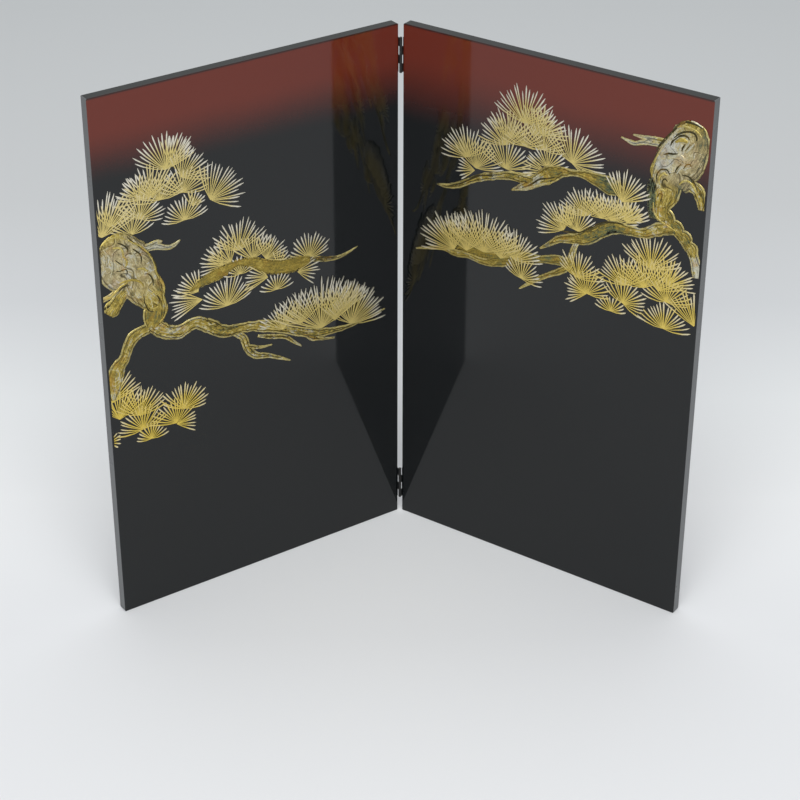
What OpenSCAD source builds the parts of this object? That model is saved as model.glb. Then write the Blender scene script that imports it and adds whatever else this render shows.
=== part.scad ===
// A tabletop folding screen of two lacquered boards, joined by two small butt hinges.
// A pine tree in raised gold runs over the front of both boards.
// X runs across the standing screen, -Y is the way the picture faces and +Z is up.
// The origin is on the floor, in the middle of the space that the screen covers.

/* [Panels] */
// Width of each panel
panel_w = 245.5; // [180:0.5:320]
// Height of each panel
panel_h = 410; // [300:5:560]
// Thickness of each panel
panel_t = 8; // [7:0.5:14]
// Rounding along the panel's long edges
panel_edge_r = 0.4; // [0.4:0.1:1.6]
// Rounding of the panel's four corners, seen from the front
panel_corner_r = 1.2; // [0.6:0.2:5]

/* [Stance] */
// Angle between the two front faces as the screen stands
open_angle = 111; // [70:1:150]

/* [Hinges] */
// Length of each hinge along its pin
hinge_len = 26; // [20:1:40]
// From the top of the panels down to the upper hinge
hinge_inset_top = 10.4; // [6:0.2:40]
// From the floor up to the lower hinge
hinge_inset_bottom = 13.4; // [6:0.2:40]
// Knuckles round one pin, shared in turn by the two leaves
knuckle_count = 4; // [3:1:6]
// Gap between neighbouring knuckles
knuckle_gap = 0.15; // [0.1:0.05:0.3]
// Thickness of the leaf metal, which is also the wall of a knuckle
leaf_t = 0.5; // [0.5:0.05:0.8]
// From the front face back to the leaf's front edge, between its knuckles
leaf_setback = 0.4; // [0.3:0.1:0.8]
// From the front face back to the leaf's rear edge
leaf_reach = 6.6; // [6:0.1:6.8]
// Diameter of the hinge pin
pin_d = 1; // [1:0.1:1.4]
// Gap round the pin in the knuckles that turn on it
pin_clear = 0.05; // [0.03:0.01:0.08]
// Gap round the pin in the knuckles that hold it
pin_grip = 0.02; // [0.01:0.01:0.03]
// From the front faces forward to the middle of the pin
pin_forward = 1.6; // [1.6:0.05:4]
// Diameter of the flattened heads that keep the pin in
pin_head_d = 1.9; // [1.6:0.1:2]
// Thickness of those heads
pin_head_t = 0.3; // [0.2:0.05:0.6]
// Gap between a pin head and the knuckle under it
pin_head_gap = 0.05; // [0.02:0.01:0.1]

/* [Screws] */
// Diameter of the screw shanks
screw_d = 1.6; // [1.4:0.1:2]
// Length of a screw under its flush head
screw_len = 7; // [5:0.5:12]
// Length of the screw's point
screw_point = 1.6; // [1:0.1:2.5]
// Diameter of the countersunk heads
screw_head_d = 2.9; // [2.6:0.1:3.2]
// From the end of a hinge to its nearer screw
screw_inset = 6.5; // [4:0.5:8]
// Gap round a screw in the leaf and in the board
screw_clear = 0.05; // [0.02:0.01:0.1]
// Width of the cross slots in a screw head
slot_w = 0.35; // [0.3:0.05:0.5]
// Length of the cross slots
slot_len = 1.7; // [1.4:0.1:2]
// Depth of the cross slots
slot_depth = 0.3; // [0.2:0.05:0.4]

/* [Pine] */
// How far the branches stand out of the front face
wood_relief = 0.3; // [0.1:0.05:0.5]
// How far the needles stand out of the front face
needle_relief = 0.15; // [0.05:0.05:0.3]
// Spacing of the needles, measured at their tips
needle_pitch = 4.4; // [3.5:0.1:8]
// Width of a needle at its tip
needle_w = 1.3; // [0.8:0.1:2]
// Share of a fan's length over which its needles run together
needle_heart = 0.6; // [0.3:0.05:0.8]
// How much shorter the shortest needle of a fan is, as a share
needle_vary = 0.14; // [0:0.02:0.3]
// How far the bark swells and narrows along a branch, as a share of its width
bark_wave = 0.1; // [0:0.01:0.2]
// Bare strip kept between the picture and the rounding of the panel's edges
picture_margin = 1; // [0:0.2:10]

/* [Hidden] */
$fn = 48;

lacquer_colour = [0.10, 0.10, 0.11];
hinge_colour = [0.16, 0.16, 0.17];
screw_colour = [0.30, 0.30, 0.31];
wood_colour = [0.62, 0.52, 0.28];
needle_colour = [0.85, 0.74, 0.40];

// The hinge in a panel's own frame: x runs out from the hinge side, y back from the front face
pin_r = pin_d / 2;
barrel_r = pin_r + pin_clear + leaf_t;
knuckle_pitch = hinge_len / knuckle_count;
pin_x = -barrel_r;
pin_y = -pin_forward;
upper_z = panel_h - hinge_inset_top - hinge_len;
lower_z = hinge_inset_bottom;
screw_y = (leaf_setback + leaf_reach) / 2;
screw_head_r = screw_head_d / 2;

// Where the panel's front edge stands, so that the pin is at x = 0 and the origin is in the middle
out_way = sin(open_angle / 2);
near_way = cos(open_angle / 2);
edge_x = barrel_r * out_way + pin_forward * near_way;
edge_y = (panel_w * near_way - panel_t * out_way) / 2;
panel_turn = open_angle / 2 - 90;

// The sheet that the pine is drawn on, stretched to the panel's own size
sheet_w = 245;
sheet_h = 410;
needle_gap = 0.15;
ink_spread = 0.25;
sliver = 0.06;
limb_steps = 4;

// Limbs of the left tree: points at [distance from the hinge side, height, width]
left_limbs = [
  [[177, 249, 3], [165, 254, 9], [150, 257, 11], [138, 260, 7], [125, 257, 10], [112, 250, 12],
   [100, 246, 10], [88, 246, 8], [76, 246, 5]],
  [[79, 247, 3], [70, 244, 4], [62, 242, 3], [53, 241, 3], [44, 242, 1.2]],
  [[143, 206, 5], [135, 199, 6], [132, 190, 6], [126, 182, 5], [115, 178, 4], [105, 173, 3],
   [96, 168, 1.2]],
  [[132, 191, 4], [121, 187, 2.5], [111, 186, 1.2]],
  [[123, 197, 2], [112, 193, 4], [100, 189, 3.5], [92, 182, 2.5], [86, 177, 1.2]],
  [[84, 190, 7], [77, 182, 6], [69, 178, 3], [57, 175, 1.6]],
  [[212, 231, 10], [222, 229, 9], [231, 219, 9], [236, 208, 10], [240, 196, 9], [243, 184, 6]],
  [[208, 236, 15], [201, 226, 12], [188, 220, 11], [174, 223, 10], [162, 217, 11], [150, 209, 10],
   [132, 207, 8], [116, 203, 10], [100, 196, 8], [84, 188, 8], [68, 183, 7], [48, 181, 4], [30, 183, 2.5],
   [12, 186, 1.2]],
  [[222, 266, 14], [229, 262.5, 11], [234, 256.5, 10], [237.5, 252, 11], [240, 249, 7]],
  [[224, 268, 5], [232, 266, 5], [238, 263.5, 4], [246, 261.5, 3.5]],
  [[214, 291.5, 7], [203, 292, 6], [194, 288.5, 4], [188, 288, 3.5], [182, 291, 1.2]],
  [[206, 293, 5], [199, 294.5, 3], [196, 293.5, 1.2]],
  [[234, 308.6, 6], [233.5, 306.5, 17], [232.5, 303, 25], [229.5, 296, 31], [227, 288, 39],
   [225.5, 281, 41], [219.5, 275, 33], [213.5, 268, 25], [211, 260, 26], [207.5, 254, 21], [204.3, 247, 17],
   [205, 241, 19], [206.5, 235, 16], [208, 230, 10]]
];

// Limbs of the right tree
right_limbs = [
  [[98, 256, 5], [88, 254, 9], [76, 250.5, 10], [62, 249, 8], [47, 248, 4]],
  [[144, 262, 6], [133, 262, 8], [120, 259, 6], [108, 257, 8], [96, 252, 10], [84, 247, 9], [72, 243, 6],
   [58, 244, 5], [47, 243, 6], [36, 244, 4], [25, 241, 3], [12, 237, 1.2]],
  [[151, 286, 6], [146, 277, 5], [144, 268, 6], [142, 260, 6], [134, 253, 5], [124, 247, 4],
   [113, 239, 3.5], [102, 230, 1.2]],
  [[183, 327, 5], [178, 329, 8], [171, 330.5, 11], [163, 332, 9], [152, 333, 6], [142, 332, 5],
   [132, 330, 9], [124, 326, 13], [114, 319, 9], [104, 312, 6], [93, 306, 1.2]],
  [[124, 322, 5], [108, 317, 7], [94, 317, 7], [82, 314, 6], [70, 310, 6], [60, 305, 5], [50, 299, 5],
   [40, 295, 4], [30, 294, 1.2]],
  [[222, 312, 10], [211, 308, 10], [200, 302, 8], [189, 301, 8], [177, 300, 10], [166, 294, 11],
   [155, 286, 11], [144, 282, 8], [134, 279, 6], [126, 273, 4], [118, 267, 1.2]],
  [[212, 322, 11], [219, 314, 10], [227, 309.5, 10], [233, 304.5, 9.5], [238, 297, 9], [241.5, 289, 7],
   [244, 281, 5]],
  [[220, 347, 12], [231, 347, 9], [238, 343, 8], [241, 336, 5], [242, 331, 3]],
  [[204.5, 346, 5], [203.5, 338, 7], [204, 326, 7], [204.5, 316, 5]],
  [[214, 371, 8], [203, 371, 7], [195, 368.5, 4], [188, 366, 3.5], [178, 368, 1.2]],
  [[204, 373, 4], [195, 372, 3], [187, 372, 1.2]],
  [[230, 392, 6], [230, 390.5, 13], [230.3, 387, 22], [230, 383, 28], [228.7, 378, 32], [225.5, 370, 36],
   [222.5, 363, 36], [220.3, 357, 33], [218.5, 351, 33], [215.5, 345, 27], [215.5, 340, 21], [214, 333, 18],
   [212, 326, 13], [212, 320, 12], [213, 315, 8]]
];

// Fans of the left tree: [distance from the hinge side, height, lean away from it, spread, length]
left_fans = [
  [203, 328, 8, 130, 26], [196, 325, 0, 165, 21], [190, 346, 0, 135, 28], [185, 347, -25, 90, 22],
  [178, 337, -40, 130, 23], [178, 326, -10, 170, 20], [211, 329, 8, 160, 20], [212, 315, -20, 165, 20],
  [235, 315, -20, 110, 20], [241, 309, -10, 120, 33], [219, 305, 3, 155, 19], [171, 314, -25, 110, 12],
  [178, 305, 2, 165, 19], [157, 315, -50, 130, 27],
  [143, 262, 35, 100, 22], [125, 260, -5, 120, 21], [136, 270, 0, 135, 25], [149, 262, 55, 90, 20],
  [114, 257, -40, 130, 19], [104, 250, -30, 100, 12], [78, 248, 0, 160, 20], [136, 251, 0, 160, 14],
  [170, 247, 42, 90, 20], [166, 240, 92, 80, 25], [147, 229, 3, 165, 20], [113, 242, 72, 80, 21],
  [106, 230, 0, 160, 13], [86, 236, -60, 120, 16],
  [102, 196, 10, 110, 23], [87, 196, 6, 120, 28], [48, 197, -12, 120, 24], [57, 190, -8, 90, 32],
  [69, 187, 2, 130, 41], [43, 183, -20, 150, 31],
  [238, 165, -8, 110, 26], [244, 180, -45, 60, 26], [222, 163, -10, 140, 23], [220, 151, 8, 165, 21],
  [247, 149, -80, 110, 9], [214, 141, 0, 165, 14], [187, 157, -15, 155, 22], [193, 147, 22, 110, 22],
  [193, 146, -85, 80, 18]
];

// Fans of the right tree
right_fans = [
  [110, 352, 15, 110, 24], [90, 345, 0, 120, 22], [102, 359, 0, 140, 28], [116, 354, 32, 110, 22],
  [102, 342, 0, 160, 19], [118, 343, 0, 170, 20], [87, 339, -20, 150, 23], [141, 339, 30, 165, 27],
  [122, 331, 0, 150, 15], [120, 327, -85, 60, 20], [88, 321, 10, 155, 20], [56, 322, -20, 150, 24],
  [63, 315, 15, 130, 25], [62, 313, -95, 70, 16],
  [166, 304, -5, 150, 20], [176, 303, 15, 150, 22], [184, 308, 35, 100, 16], [153, 302, -18, 140, 22],
  [148, 289, 0, 140, 19], [143, 292, -40, 90, 16], [137, 287, -45, 130, 23],
  [181, 322, 5, 135, 26], [57, 248, -8, 110, 29], [86, 250, 5, 110, 26], [71, 251, 0, 140, 34],
  [46, 246, -40, 120, 28], [98, 252, 15, 130, 25], [104, 239, 15, 160, 18],
  [214, 262, 10, 120, 22], [207, 277, 0, 140, 26], [203, 261, -20, 140, 25], [221, 268, 25, 130, 22],
  [221, 255, 0, 170, 20], [187, 258, -15, 140, 24], [187, 244, 28, 170, 20], [150, 253, 10, 140, 22],
  [158, 243, 12, 150, 20], [158, 243, -95, 70, 19], [178, 235, 0, 160, 13], [220, 234, 3, 160, 21],
  [243, 243, -18, 90, 26]
];

// A point of the sheet on the panel
function on_panel(p) = [p[0] * panel_w / sheet_w, p[1] * panel_h / sheet_h];

// A smooth curve through a limb's points, which carries the width along
function between(a, b, c, d, t) =
  (2 * b + (c - a) * t + (2 * a - 5 * b + 4 * c - d) * pow(t, 2) + (3 * b - a - 3 * c + d) * pow(t, 3)) / 2;
function curve(p) = let (last = len(p) - 1) [
  for (i = [0 : last - 1], k = [0 : limb_steps - 1])
    between(p[max(i - 1, 0)], p[i], p[i + 1], p[min(i + 2, last)], k / limb_steps),
  p[last]
];

// One side of a limb, with the bark's swellings
function bark(line, way) = let (last = len(line) - 1) [
  for (i = [0 : last])
    let (
      back = line[max(i - 1, 0)],
      ahead = line[min(i + 1, last)],
      run = [ahead[0] - back[0], ahead[1] - back[1]],
      square_to = [-run[1], run[0]] / norm(run),
      swell = 1 + bark_wave * sin(110 * i + 70 * way)
    )
    on_panel([line[i][0], line[i][1]] + square_to * way * swell * line[i][2] / 2)
];
function limb_outline(p) = let (line = curve(p), far = bark(line, -1)) concat(
  bark(line, 1), [for (i = [len(far) - 1 : -1 : 0]) far[i]]
);

// One fan of needles, which run together at its heart and part towards their tips
function ray(fan, angle, reach) = on_panel([fan[0], fan[1]] + reach * [sin(angle), cos(angle)]);
function needle_steps(fan) = max(4, round(fan[4] * fan[3] * PI / 180 / needle_pitch));
function fan_outline(fan) =
  let (
    steps = needle_steps(fan),
    pitch = fan[3] / steps,
    half_tip = needle_w / 2 / fan[4] * 180 / PI,
    heart = fan[4] * needle_heart
  )
  [
    on_panel([fan[0], fan[1]]),
    for (i = [0 : steps])
      let (
        lean = fan[2] - fan[3] / 2 + pitch * i,
        tip = fan[4] * (1 - needle_vary * pow(sin(97 * i + 31 * fan[0]), 2))
      )
      each [
        ray(fan, lean - max(pitch / 2, half_tip), heart),
        ray(fan, lean - half_tip, tip),
        ray(fan, lean + half_tip, tip)
      ],
    ray(fan, fan[2] + fan[3] / 2 + pitch / 2, heart)
  ];

// The right panel's frame in the standing screen, and the left panel's, which mirrors it
module right_side() {
  translate([edge_x, edge_y, 0])
    rotate([0, 0, panel_turn])
      children();
}
module left_side() {
  mirror([1, 0, 0])
    right_side()
      children();
}

// A rectangle with round corners, from the origin
module round_rectangle(w, h, r) {
  union() {
    translate([r, 0])
      square([w - 2 * r, h]);
    translate([0, r])
      square([w, h - 2 * r]);
    for (x = [r, w - r], y = [r, h - r])
      translate([x, y])
        circle(r = r);
  }
}

// Heights of the screws above the foot of a hinge
screw_heights = [screw_inset, hinge_len - screw_inset];

// One board, with pilot holes for the screws in the edge beside the hinges
module board() {
  color(lacquer_colour)
    difference() {
      intersection() {
        translate([0, panel_t, 0])
          rotate([90, 0, 0])
            linear_extrude(panel_t)
              round_rectangle(panel_w, panel_h, panel_corner_r);
        linear_extrude(panel_h)
          round_rectangle(panel_w, panel_t, panel_edge_r);
        rotate([90, 0, 90])
          linear_extrude(panel_w)
            round_rectangle(panel_t, panel_h, panel_edge_r);
      }
      for (base = [lower_z, upper_z], z = screw_heights)
        translate([0, screw_y, base + z])
          rotate([0, 90, 0])
            cylinder(r = screw_d / 2 + screw_clear, h = screw_len - leaf_t + screw_clear);
    }
}

// One leaf of a hinge, screwed to the panel's edge; first is its highest knuckle, counted from the top
module leaf(base, first) {
  color(hinge_colour)
    difference() {
      union() {
        translate([-leaf_t, leaf_setback, base])
          cube([leaf_t, leaf_reach - leaf_setback, hinge_len]);
        for (k = [first : 2 : knuckle_count - 1])
          translate([0, 0, base + hinge_len - (k + 1) * knuckle_pitch + knuckle_gap / 2])
            knuckle(knuckle_pitch - knuckle_gap);
      }
      translate([pin_x, pin_y, base - 1])
        cylinder(r = pin_r + (first == 0 ? pin_grip : pin_clear), h = hinge_len + 2);
      for (z = screw_heights)
        translate([0, screw_y, base + z])
          rotate([0, -90, 0]) {
            cylinder(r = screw_d / 2 + screw_clear, h = leaf_t);
            cylinder(r1 = screw_d / 2 + screw_clear, r2 = screw_head_r + screw_clear, h = leaf_t);
          }
    }
}

// The leaf's metal, carried forward past the front face and rolled round the pin
module knuckle(h) {
  translate([-leaf_t, pin_y, 0])
    cube([leaf_t, pin_forward + leaf_setback, h]);
  translate([pin_x, pin_y, 0])
    cylinder(r = barrel_r, h = h);
}

// The pin of a hinge, with a flattened head past each end of the knuckles
module pin(base) {
  color(hinge_colour)
    translate([pin_x, pin_y, base]) {
      translate([0, 0, -pin_head_gap - pin_head_t])
        cylinder(r = pin_r, h = hinge_len + 2 * (pin_head_gap + pin_head_t));
      for (z = [-pin_head_gap - pin_head_t, hinge_len + pin_head_gap])
        translate([0, 0, z])
          cylinder(d = pin_head_d, h = pin_head_t);
    }
}

// The two screws of one leaf, with flush cross-slotted heads
module screws(base) {
  color(screw_colour)
    for (z = screw_heights)
      translate([-leaf_t, screw_y, base + z])
        rotate([0, 90, 0])
          screw();
}
module screw() {
  difference() {
    union() {
      cylinder(r1 = screw_head_r, r2 = screw_d / 2, h = leaf_t);
      cylinder(d = screw_d, h = screw_len - screw_point);
      translate([0, 0, screw_len - screw_point])
        cylinder(r1 = screw_d / 2, r2 = 0, h = screw_point);
    }
    for (turn = [0, 90])
      rotate([0, 0, turn])
        translate([-slot_len / 2, -slot_w / 2, 0])
          cube([slot_len, slot_w, slot_depth]);
  }
}

// The picture's flat shapes, kept off the panel's edges
module picture_field() {
  inset = panel_edge_r + picture_margin;
  translate([inset, inset])
    square([panel_w - 2 * inset, panel_h - 2 * inset]);
}
module wood_shape(limbs) {
  offset(delta = -ink_spread)
    offset(delta = ink_spread)
      intersection() {
        union()
          for (limb = limbs)
            polygon(limb_outline(limb));
        picture_field();
      }
}
module needle_shape(limbs, fans) {
  offset(delta = sliver)
    offset(delta = -sliver)
      difference() {
        intersection() {
          offset(delta = -ink_spread)
            offset(delta = ink_spread)
              union()
                for (fan = fans)
                  polygon(fan_outline(fan));
          picture_field();
        }
        offset(delta = needle_gap)
          wood_shape(limbs);
      }
}

// A flat shape raised from the front face
module raised(relief) {
  rotate([90, 0, 0])
    linear_extrude(relief)
      children();
}

// One module for each piece, in its place
module left_panel() { left_side() board(); }
module right_panel() { right_side() board(); }
module upper_hinge_left_leaf() { left_side() leaf(upper_z, 0); }
module upper_hinge_right_leaf() { right_side() leaf(upper_z, 1); }
module upper_hinge_pin() { left_side() pin(upper_z); }
module lower_hinge_left_leaf() { left_side() leaf(lower_z, 0); }
module lower_hinge_right_leaf() { right_side() leaf(lower_z, 1); }
module lower_hinge_pin() { left_side() pin(lower_z); }
module upper_left_screws() { left_side() screws(upper_z); }
module upper_right_screws() { right_side() screws(upper_z); }
module lower_left_screws() { left_side() screws(lower_z); }
module lower_right_screws() { right_side() screws(lower_z); }
module left_pine_wood() { color(wood_colour) left_side() raised(wood_relief) wood_shape(left_limbs); }
module left_pine_needles() {
  color(needle_colour) left_side() raised(needle_relief) needle_shape(left_limbs, left_fans);
}
module right_pine_wood() { color(wood_colour) right_side() raised(wood_relief) wood_shape(right_limbs); }
module right_pine_needles() {
  color(needle_colour) right_side() raised(needle_relief) needle_shape(right_limbs, right_fans);
}

left_panel();
right_panel();
upper_hinge_left_leaf();
upper_hinge_right_leaf();
upper_hinge_pin();
lower_hinge_left_leaf();
lower_hinge_right_leaf();
lower_hinge_pin();
upper_left_screws();
upper_right_screws();
lower_left_screws();
lower_right_screws();
left_pine_wood();
left_pine_needles();
right_pine_wood();
right_pine_needles();
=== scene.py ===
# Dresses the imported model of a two-panel tabletop folding screen: black lacquer shaded to red along the
# top, small black hinges, and a pine tree raised in gold and silver powder over both fronts.
# Places on a front are given in millimetres as the maker would measure them on the board: how far out
# from the hinge side, and how high above the floor.

import math
import random
from functools import partial

import bmesh
import bpy
from mathutils import Matrix, Vector, noise
from mathutils.bvhtree import BVHTree


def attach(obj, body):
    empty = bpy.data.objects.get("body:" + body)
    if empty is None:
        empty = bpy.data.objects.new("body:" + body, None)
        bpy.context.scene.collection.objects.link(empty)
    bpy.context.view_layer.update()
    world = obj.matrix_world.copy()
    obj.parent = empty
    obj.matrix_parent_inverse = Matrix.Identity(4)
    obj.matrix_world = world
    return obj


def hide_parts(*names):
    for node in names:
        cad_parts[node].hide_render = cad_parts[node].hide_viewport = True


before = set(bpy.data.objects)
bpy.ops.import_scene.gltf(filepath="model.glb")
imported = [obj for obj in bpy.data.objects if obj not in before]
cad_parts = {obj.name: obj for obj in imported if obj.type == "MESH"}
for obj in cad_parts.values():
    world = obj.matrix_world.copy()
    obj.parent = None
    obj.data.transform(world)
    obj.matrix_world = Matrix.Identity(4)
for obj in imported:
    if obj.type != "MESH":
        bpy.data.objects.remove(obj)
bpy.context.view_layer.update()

bl_info = {
    "name": "Pine folding screen",
    "version": (1, 0, 0),
    "blender": (4, 5, 0),
    "location": "3D View > Sidebar > Folding screen",
    "description": "Finishes a two-panel lacquered folding screen with a pine raised in gold powder",
    "category": "Object",
}

MM = 0.001
SIDES, LEVELS = ("left", "right"), ("upper", "lower")

# How the two boards stand, as in the part's source: half the angle between their fronts, and the front
# edge beside the hinge of the right board. The left board mirrors it.
HALF_OPEN = math.radians(55.5)
HINGE_EDGE = Vector((1.772, 66.230, 0.0)) * MM
BOARD_WIDTH, BOARD_HEIGHT, BOARD_THICKNESS = 245.5 * MM, 410 * MM, 8 * MM

# The width of the sheet that the pine is drawn on, which is stretched to the board's, the line on it where
# the picture ends at the board's outer side, how deep the picture's pieces reach into the board, and a
# height above all of them
SHEET_WIDTH, PICTURE_EDGE = 245, 243.6
UNDER, ABOVE = 0.05, 5

# How limbs and strokes are laid, in millimetres: distance of the rows of points, faces across, how much
# higher each new limb lies or a stroke stands, and how much further along the bark's pattern each starts
LIMB_STEP, LIMB_FACES, LIMB_LIFT, LIMB_START = 1.2, 16, 0.02, 137.0
STROKE_STEP, STROKE_FACES, STROKE_RISE, STROKE_START = 0.8, 4, 0.12, 61.0
STROKE_FLECK, STROKE_ROUNDING = 0.1, 0.25
# A limb's dome in shares of the relief: its foot, its least height, what it gains for each millimetre of
# width, up to which width, and its bumps, as far apart as BUMP_PITCH, on one slice of the noise
DOME_FOOT, DOME_LEAST, DOME_GAIN, DOME_WIDEST = 0.35, 0.7, 0.03, 30
BUMPS, BUMP_PITCH, BUMP_SLICE = 0.3, 6, 5
# How much of its half width a limb's edge wanders, up to which half width, and how long its bends are
WANDER, WANDER_WIDEST, WANDER_LENGTH = 0.22, 4.5, 5
# The width at which a limb's slant of powder counts in full, and the widths between which silver sets in
SLANT_WIDTH = 40
SILVER_FROM, SILVER_FULL = 18, 32

# Needles, in millimetres: a fan's height over the board, how much higher each next one lies, and how much
# higher those over the wood do. Then the seed of the needles' chances, the fewest gaps between the needles of
# a fan, and how far the outermost ones bend.
FAN_BASE, FAN_STEP, OVER_WOOD = 0.03, 0.008, 0.45
NEEDLE_SEED, FEWEST_GAPS, NEEDLE_BEND = 20, 4, 0.16
# Each needle's share of its fan's length and of the full width, and its turn from an even place, in degrees
NEEDLE_LENGTHS, NEEDLE_WIDTHS, NEEDLE_TURNS = (0.84, 1.05), (0.8, 1.12), (-1.7, 1.7)
# One needle's outline as (share of its length, share of its width), and its flanks' share of its height
NEEDLE_STATIONS = ((0.0, 0.34), (0.35, 0.62), (0.7, 0.9), (0.9, 0.95), (1.0, 0.28))
FLANK_HEIGHT = 0.4
# How far along its needles another fan takes silver from a tip below it, how much silver is left there, and
# how much of it the yellowest boughs lose
CROSSED_REACH, CROSSED_SILVER, RICH_LOSS = 0.85, 0.3, 0.5

# The red mist's edge, in metres: how far the spray gun's drift and its single droplets move it
MIST_DRIFT, MIST_DROPLETS = 0.008, 0.006
# From bare dark lacquer to silver powder, by share
BARE_LACQUER = "#14120c"
POWDER_STOPS = ((0.06, BARE_LACQUER), (0.2, "#5a6547"), (0.33, "#7d7643"), (0.47, "#988645"),
                (0.62, "#b59f53"), (0.75, "#c8b76e"), (0.88, "#c6bf9e"))
# The backdrop's greys between the floor's and the distance's, by share of the way back: greyer farther back,
# a painted shade where the floor runs away from the lamps
BACKDROP_LIGHT_AND_SHADE_STOPS = ((0.129, "#eff1f2"), (0.243, "#ebeeef"), (0.371, "#dadddf"), (0.53, "#d3d6d7"))

# The camera as it was solved from the boards' corners in the photograph: place, turns in radians, and lens
CAMERA_PLACE = Vector((2.17, -1377.97, 955.32)) * MM
CAMERA_PITCH, CAMERA_YAW, CAMERA_ROLL = -0.53377, -0.00151, 0.00224
CAMERA_SENSOR, CAMERA_LENS, CAMERA_CLIP = 36.0, 97.19, (0.05, 50.0)
# The floor's half width and the faces across it, and the lamps' side lengths, places and aim, in metres
FLOOR_REACH, FLOOR_FACES = 8, 8
SOFT_BOX, FILL = (2.5, (0.0, -1.8, 2.3)), (2.0, (0.0, 0.7, 2.55))
LAMP_AIM = Vector((0, 0, 0.2))


def linear(hex_colour):
    """An sRGB hex colour as linear red, green, blue and an alpha of 1."""
    channels = [int(hex_colour[i:i + 2], 16) / 255 for i in (1, 3, 5)]
    return (*(c / 12.92 if c <= 0.04045 else ((c + 0.055) / 1.055) ** 2.4 for c in channels), 1.0)


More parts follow.
